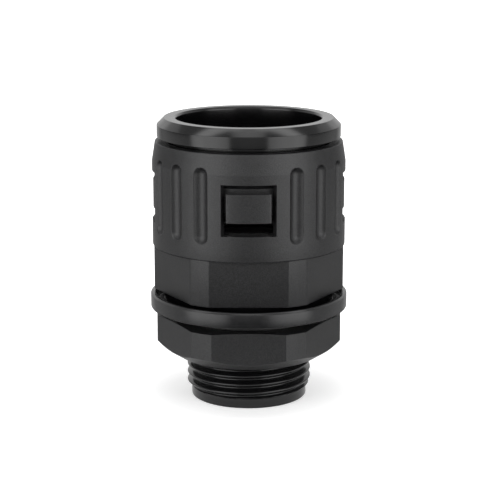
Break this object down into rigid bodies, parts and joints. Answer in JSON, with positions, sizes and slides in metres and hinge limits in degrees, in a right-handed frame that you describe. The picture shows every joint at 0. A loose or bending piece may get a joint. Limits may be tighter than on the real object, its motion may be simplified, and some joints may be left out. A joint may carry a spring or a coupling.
{
  "type": "liquidtight conduit connector",
  "caption": "Black push-in liquidtight connector for corrugated conduit, with a pipe thread, sealing washer, hex locknut and glossy release ring.",
  "frame": {"origin": "centre of the thread's end face, which it stands on", "axes": "+Z along the bore axis towards the conduit mouth; a flat of each hexagon and a window face -Y"},
  "size_m": [0.0418, 0.0418, 0.06],
  "materials": {
    "textured_nylon": "spark-eroded matte",
    "polished_nylon": "glossy",
    "black_rubber": "smooth"
  },
  "bodies": {
    "housing": {"body": "textured_nylon", "spacer_ring": "polished_nylon", "conduit_seal": "black_rubber"},
    "release": {"release_ring": "polished_nylon"},
    "claws": {"claw_ring": "textured_nylon"},
    "washer": {"sealing_washer": "black_rubber"},
    "nut": {"locknut": "textured_nylon"}
  },
  "joints": [
    {"name": "release_press", "type": "slide", "parent": "housing", "child": "release", "axis": [0, 0, 1], "range_m": [-0.0007, 0], "stiffness_N_per_m": 400, "springref_m": 0.0005},
    {"name": "claw_slide", "type": "slide", "parent": "housing", "child": "claws", "axis": [0, 0, 1], "range_m": [-0.0025, 0.0018]},
    {"name": "washer_travel", "type": "slide", "parent": "housing", "child": "washer", "axis": [0, 0, 1], "range_m": [-0.00726, 0]},
    {"name": "locknut_turn", "type": "hinge", "parent": "washer", "child": "nut", "pos_m": [0, 0, 0.01365], "axis": [0, 0, 1], "range_deg": [-1440, 0]}
  ],
  "couplings": [
    {"joint": "washer_travel", "follows": "locknut_turn", "m_per_rad": 0.00028871}
  ]
}
